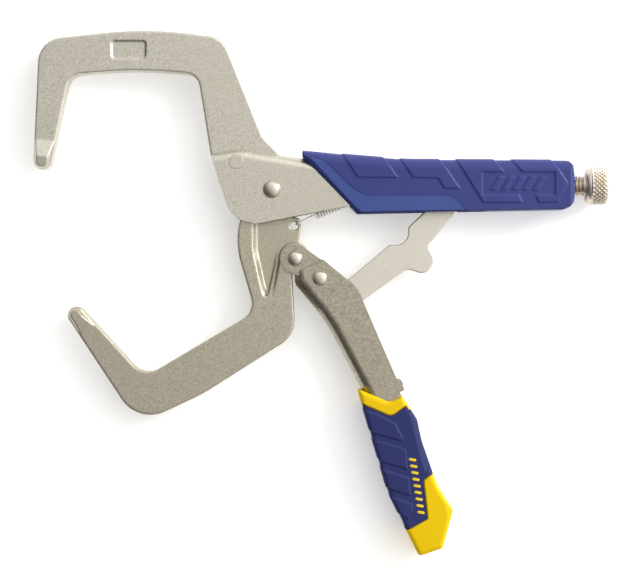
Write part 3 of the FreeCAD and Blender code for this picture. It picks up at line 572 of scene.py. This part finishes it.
MARK_COUNT = 9
MARK_HALF_LENGTH = 1.75
MARK_HALF_WIDTH = 0.62
MARK_BASE = 9.7                  # sunk into the sleeve
MARK_TOP = 10.32
MARK_SHOULDER = 0.12
MARK_CROWN = 0.86                # the flat top's size, as a share of the whole
MARK_TILT = radians(-10)
MARK_STEPS = 8
mark_line = [(66.8, -128.4), (67.8, -134.3), (69.2, -142.5), (70.8, -153.4)]
mark_share = [0.0, 0.237, 0.566, 1.0]


def mark_outline():
    """A round-ended dash about the origin, already tilted."""
    outline = []
    for end, first_turn in ((1, -pi / 2), (-1, pi / 2)):
        for j in range(MARK_STEPS + 1):
            turn = first_turn + pi * j / MARK_STEPS
            across = end * (MARK_HALF_LENGTH - MARK_HALF_WIDTH) + MARK_HALF_WIDTH * cos(turn)
            along = MARK_HALF_WIDTH * sin(turn)
            outline.append((across * cos(MARK_TILT) - along * sin(MARK_TILT),
                            across * sin(MARK_TILT) + along * cos(MARK_TILT)))
    return outline


def make_marks():
    """A row of plain raised dashes down each side of the sleeve."""
    form = bmesh.new()
    line_x, line_y = zip(*mark_line)
    layers = ((1.0, MARK_BASE), (1.0, MARK_TOP - MARK_SHOULDER), (MARK_CROWN, MARK_TOP))
    for i in range(MARK_COUNT):
        share = i / (MARK_COUNT - 1)
        x = np.interp(share, mark_share, line_x)
        y = np.interp(share, mark_share, line_y)
        for side in (1, -1):
            rings = []
            for scale, level in layers:
                rings.append([form.verts.new(place(x + scale * dx, y + scale * dy, side * level))
                              for dx, dy in mark_outline()])
            skin(form, rings)
            form.faces.new(rings[-1])
            form.faces.new(rings[0])
    mesh = finished(form, "sleeve_marks", crease=30)
    new_piece("sleeve_marks", mesh, "lever", "mark_yellow")


# ---------------------------------------------------------------- knob

SCREW_Y = 1.9                    # the adjusting screw's axis
KNOB_START = 149.8
KNOB_END = 160.5
KNOB_RADIUS = 9.0
KNOB_SIDES = 320
RIM_RADIUS = 2.6
KNURL_START = KNOB_START + 2.9
KNURL_END = KNOB_END - 0.15
KNURL_ROWS = 64
KNURL_STARTS = 25
KNURL_DEPTH = 0.62
KNURL_GROOVE = 0.55              # a groove's half width, as a share of half the pitch
KNURL_LEAD = 0.5                 # over which the knurl deepens at its front end
KNURL_FADE = (1.5, 0.5)          # before the knob's end, where the knurl fades out
LAND_RADIUS = 5.6
SOCKET_MOUTH = 3.7
SOCKET_FLATS = 6.35
SOCKET_DEPTH = 5.0
collar = [(0.0, 3.05), (0.0, 6.6), (0.25, 7.5), (0.9, 8.15), (1.7, 8.45), (2.35, 8.5), (2.6, 8.75)]


def knob_profile():
    """The knob's outline as x and radius, before it is knurled."""
    profile = [(KNOB_START + x, radius) for x, radius in collar]
    for i in range(KNURL_ROWS + 1):
        x = KNURL_START + (KNURL_END - KNURL_START) * i / KNURL_ROWS
        round_off = max(0.0, x - (KNOB_END - RIM_RADIUS))
        drop = RIM_RADIUS - sqrt(max(0.0, RIM_RADIUS ** 2 - round_off ** 2))
        profile.append((x, KNOB_RADIUS - drop))
    return profile + [(KNOB_END, LAND_RADIUS), (KNOB_END, SOCKET_MOUTH)]


def knurl(x, turn):
    """How far two sets of crossing grooves cut in."""
    fade_start, fade_end = KNURL_FADE
    depth = KNURL_DEPTH * ramp(x, KNURL_START, KNURL_START + KNURL_LEAD)
    depth *= 1 - ramp(x, KNOB_END - fade_start, KNOB_END - fade_end)
    twist = (x - KNOB_START) / KNOB_RADIUS
    first = abs(((turn + twist) * KNURL_STARTS / (2 * pi)) % 1 - 0.5) * 2
    second = abs(((turn - twist) * KNURL_STARTS / (2 * pi)) % 1 - 0.5) * 2
    return depth * max(0.0, 1 - min(first, second) / KNURL_GROOVE)


def make_knob():
    """A turned knob with a smooth collar, a diamond knurl, rounded rims and a hexagon socket."""
    form = bmesh.new()
    turns = [2 * pi * j / KNOB_SIDES for j in range(KNOB_SIDES)]
    rings = []
    for x, radius in knob_profile():
        ring = []
        for turn in turns:
            reach = radius - knurl(x, turn)
            spot = place(x, SCREW_Y + reach * cos(turn), reach * sin(turn))
            ring.append(form.verts.new(spot))
        rings.append(ring)
    for depth in (0.0, SOCKET_DEPTH):
        ring = []
        for turn in turns:
            from_flat = ((turn + pi / 6) % (pi / 3)) - pi / 6
            reach = SOCKET_FLATS / 2 / cos(from_flat)
            spot = place(KNOB_END - depth, SCREW_Y + reach * cos(turn), reach * sin(turn))
            ring.append(form.verts.new(spot))
        rings.append(ring)
    skin(form, rings)
    form.faces.new(rings[-1])
    mesh = finished(form, "knob", crease=40)
    new_piece("screw_knob_look", mesh, "knob", "knob_steel", ("screw_knob",))


# ---------------------------------------------------------------- spring

SPRING_HOLE = (10.5, -17.2)      # the hole in the jaw's tab, and the post in the channel
SPRING_POST = (66.0, 6.2)
FRONT_HOOK = (11.7, -16.3)
COIL_START = (21.0, -11.9)
WIRE_RADIUS = 0.58
WIRE_SIDES = 10
COIL_RADIUS = 2.1
COIL_PITCH = 1.42
COIL_TURNS = 25
COIL_STEPS = 20
NEARLY_PARALLEL = 0.2
front_bends = [(0.0, -2.6), (0.0, 2.2), (0.9, 3.3), (4.0, 3.0)]    # along and above the hook
coil_lead_in = (-2.4, 2.2)
coil_lead_out = (2.0, 1.4)
rear_bends = [(-1.2, 1.6), (0.0, 1.2), (0.0, -1.6)]                # along and above the post


def tube(path, radius):
    """A round wire swept along a list of points."""
    form = bmesh.new()
    rings = []
    up = Vector((0, 0, 1))
    for i, point in enumerate(path):
        ahead = path[min(i + 1, len(path) - 1)] - path[max(i - 1, 0)]
        ahead.normalize()
        across = ahead.cross(up)
        if across.length < NEARLY_PARALLEL:
            across = ahead.cross(Vector((1, 0, 0)))
        across.normalize()
        up = across.cross(ahead)
        ring = []
        for j in range(WIRE_SIDES):
            turn = 2 * pi * j / WIRE_SIDES
            ring.append(form.verts.new(point + (across * cos(turn) + up * sin(turn)) * radius))
        rings.append(ring)
    skin(form, rings)
    form.faces.new(rings[0])
    form.faces.new(rings[-1])
    return finished(form, "tube", crease=SOFT_ANGLE)


def make_spring():
    """The return spring: an open coil with a hook at each end."""
    hole = place(*SPRING_HOLE)
    post = place(*SPRING_POST)
    hook = place(*FRONT_HOOK)
    start = place(*COIL_START)
    along = (post - hole).normalized()
    up = Vector((0, 0, 1))
    side = along.cross(up)
    end = start + along * (COIL_PITCH * COIL_TURNS * MM)

    def bend(spot, ahead, rise):
        return spot + (along * ahead + up * rise) * MM

    path = [bend(hook, *offset) for offset in front_bends]
    path.append(bend(start, *coil_lead_in))
    for i in range(COIL_TURNS * COIL_STEPS + 1):
        turn = 2 * pi * i / COIL_STEPS
        centre = start + along * (COIL_PITCH * i / COIL_STEPS * MM)
        path.append(centre + (up * cos(turn) + side * sin(turn)) * COIL_RADIUS * MM)
    path.append(bend(end, *coil_lead_out))
    path += [bend(post, *offset) for offset in rear_bends]
    mesh = tube(path, WIRE_RADIUS * MM)
    piece = new_piece("return_spring_look", mesh, None, "spring_steel")
    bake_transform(piece)
    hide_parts("return_spring")


# ---------------------------------------------------------------- rivets

RIVET_SIDES = 64
DOME_STEPS = 14
RIM_RISE = 0.22                  # of a head's rim off the sheet
FOOT = 0.985                     # the head's foot and its shank, as shares of its radius
SHANK = 0.6
FOOT_RISE = 0.02


def make_rivet(node, body, x, y, head, seat, top):
    """A round shank between two domed heads whose rims stand a little off the sheet."""
    rim = seat + RIM_RISE
    half = []
    for i in range(1, DOME_STEPS + 1):
        swing = (pi / 2) * i / DOME_STEPS
        half.append((head * sin(swing), rim + (top - rim) * cos(swing)))
    half += [(head * FOOT, seat + FOOT_RISE), (head * SHANK, seat)]
    form = bmesh.new()
    rings = []
    for radius, level in half + [(radius, -level) for radius, level in reversed(half)]:
        ring = []
        for j in range(RIVET_SIDES):
            turn = 2 * pi * j / RIVET_SIDES
            spot = place(x + radius * cos(turn), y + radius * sin(turn), level)
            ring.append(form.verts.new(spot))
        rings.append(ring)
    skin(form, rings)
    for ring, level in ((rings[0], top), (rings[-1], -top)):
        crown = form.verts.new(place(x, y, level))
        for j in range(RIVET_SIDES):
            form.faces.new((ring[j], ring[(j + 1) % RIVET_SIDES], crown))
    mesh = finished(form, node + "_look", crease=50)
    new_piece(node + "_look", mesh, body, "rivet_steel", (node,))


# ---------------------------------------------------------------- steel parts

JOGGLE_TURN = radians(-63.8)     # which way the step between the lever's ears and its sides falls
JOGGLE_SHIFT = 1.3
JOGGLE_ORIGIN = (16.7, -36.7)
JOGGLE_LINE = 2.2                # the step's upper edge, measured from that origin
JOGGLE_REACH = 0.06
JOGGLE_LEVEL = 8.4


def joggled_lever():
    """The lever's mesh with the step between its ears and its sides as steep as a pressed one."""
    mesh = welded("lever")
    points = read_points(mesh)
    fall = np.array((cos(JOGGLE_TURN), sin(JOGGLE_TURN)))
    along = (points[:, :2] - np.array(JOGGLE_ORIGIN)) @ fall
    shoulder = (np.abs(along - JOGGLE_LINE) < JOGGLE_REACH) & (np.abs(points[:, 2]) > JOGGLE_LEVEL)
    points[:, :2] -= np.where(shoulder[:, None], JOGGLE_SHIFT * fall, 0.0)
    write_points(mesh, points)
    return mesh


eased("upper_handle", "handle", "frame_steel", width=0.28)
forged("fixed_jaw", "handle", "frame_steel", voxel=0.36, passes=4)
forged("moving_jaw", "moving_jaw", "jaw_steel", voxel=0.33, passes=5)
eased("lever", "lever", "lever_steel", width=0.25, angle=20, crease=14, source=joggled_lever())
eased("toggle_link", "toggle_link", "link_steel", width=0.15)
eased("fixed_jaw_rivet", "handle", "frame_steel", width=0.12)
make_rivet("jaw_pivot_rivet", "handle", x=0.0, y=0.0, head=4.2, seat=8.0, top=10.5)
make_rivet("lever_pivot_rivet", "lever", x=11.0, y=-32.9, head=3.5, seat=7.8, top=10.0)
make_rivet("link_pivot_rivet", "lever", x=22.8, y=-42.4, head=3.5, seat=8.6, top=10.5)
dress(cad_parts["adjusting_screw"], "screw_steel")

make_upper_grip()
make_lower_sleeve()
make_lower_core()
make_marks()
make_knob()
make_spring()


# ---------------------------------------------------------------- floor, light and camera

FLOOR_HALF_SIZE = 3.0            # metres, as are the lengths in the rest of this section
FLOOR_GAP = 0.0002
FLOOR_GLOW = 0.34
PAPER_COLOURS = ((0.97, 0.97, 0.97, 1), (0.96, 0.96, 0.96, 1))
BRIGHT_SIDE = (0.80, 0.60, 0.0)  # a unit vector towards the studio's bright side
SIDE_REACH = 0.85                # along it, where the light stops changing
SIDE_STRENGTHS = (0.10, 1.62)    # on the dark side and on the bright side
HORIZON_HEIGHT = 0.5             # up to which the studio darkens towards its horizon
HORIZON_STRENGTHS = (0.40, 1.0)


def make_floor():
    form = bmesh.new()
    bmesh.ops.create_grid(form, x_segments=8, y_segments=8, size=FLOOR_HALF_SIZE)
    mesh = bpy.data.meshes.new("floor")
    form.to_mesh(mesh)
    form.free()
    floor = bpy.data.objects.new("floor", mesh)
    floor.location = (0, 0, cad_box[0][2] - FLOOR_GAP)
    bpy.context.scene.collection.objects.link(floor)
    shader = Shader("floor_paper")
    drift = shader.spread(shader.noise(PAPER_DRIFT, detail=2.0), *PAPER_RANGE)
    shader.feed(shader.surface.inputs["Base Color"], shader.mix(drift, *PAPER_COLOURS))
    shader.set(Roughness=0.9, Specular_IOR_Level=0.1, Emission_Color=(1, 1, 1, 1),
               Emission_Strength=FLOOR_GLOW)
    mesh.materials.append(shader.material)


def area_light(name, location, target, size, power):
    data = bpy.data.lights.new(name, "AREA")
    data.shape = "RECTANGLE"
    data.size, data.size_y = size
    data.energy = power
    light = bpy.data.objects.new(name, data)
    light.location = location
    aim = Vector(target) - Vector(location)
    light.rotation_euler = aim.to_track_quat("-Z", "Y").to_euler()
    bpy.context.scene.collection.objects.link(light)


def smooth_range(tree, value, low, high, to_low, to_high):
    """A map range node with soft ends."""
    made = tree.nodes.new("ShaderNodeMapRange")
    made.interpolation_type = "SMOOTHSTEP"
    tree.links.new(value, made.inputs["Value"])
    made.inputs["From Min"].default_value = low
    made.inputs["From Max"].default_value = high
    made.inputs["To Min"].default_value = to_low
    made.inputs["To Max"].default_value = to_high
    return made.outputs["Result"]


def make_world():
    """A white studio, bright on the right, darker on the left and near the horizon."""
    world = bpy.data.worlds.new("studio")
    world.use_nodes = True
    tree = world.node_tree
    direction = tree.nodes.new("ShaderNodeTexCoord").outputs["Generated"]
    side = tree.nodes.new("ShaderNodeVectorMath")
    side.operation = "DOT_PRODUCT"
    tree.links.new(direction, side.inputs[0])
    side.inputs[1].default_value = BRIGHT_SIDE
    axes = tree.nodes.new("ShaderNodeSeparateXYZ")
    tree.links.new(direction, axes.inputs["Vector"])
    product = tree.nodes.new("ShaderNodeMath")
    product.operation = "MULTIPLY"
    strength = smooth_range(tree, side.outputs["Value"], -SIDE_REACH, SIDE_REACH, *SIDE_STRENGTHS)
    lift = smooth_range(tree, axes.outputs["Z"], 0.0, HORIZON_HEIGHT, *HORIZON_STRENGTHS)
    tree.links.new(strength, product.inputs[0])
    tree.links.new(lift, product.inputs[1])
    background = tree.nodes["Background"]
    background.inputs["Color"].default_value = (1.0, 0.99, 0.97, 1)
    tree.links.new(product.outputs["Value"], background.inputs["Strength"])
    bpy.context.scene.world = world


make_floor()
area_light("right_window", location=(1.2, 0.65, 0.42), target=(0, 0, 0), size=(0.5, 1.5), power=20)
make_world()
bpy.context.scene.view_settings.view_transform = "Standard"

CAMERA_DISTANCE = 1.0            # from the steel's upper face
FIELD_WIDTH = 0.305              # of the camera's view at that face
CAMERA_AIM = (22.9, -49.1, 5.2)  # millimetres from the pivot
camera_data = bpy.data.cameras.new("camera")
camera_data.sensor_width = 36.0
camera_data.lens = camera_data.sensor_width * CAMERA_DISTANCE / FIELD_WIDTH
camera = bpy.data.objects.new("camera", camera_data)
camera.location = place(*CAMERA_AIM) + Vector((0, 0, CAMERA_DISTANCE))
bpy.context.scene.collection.objects.link(camera)
bpy.context.scene.camera = camera
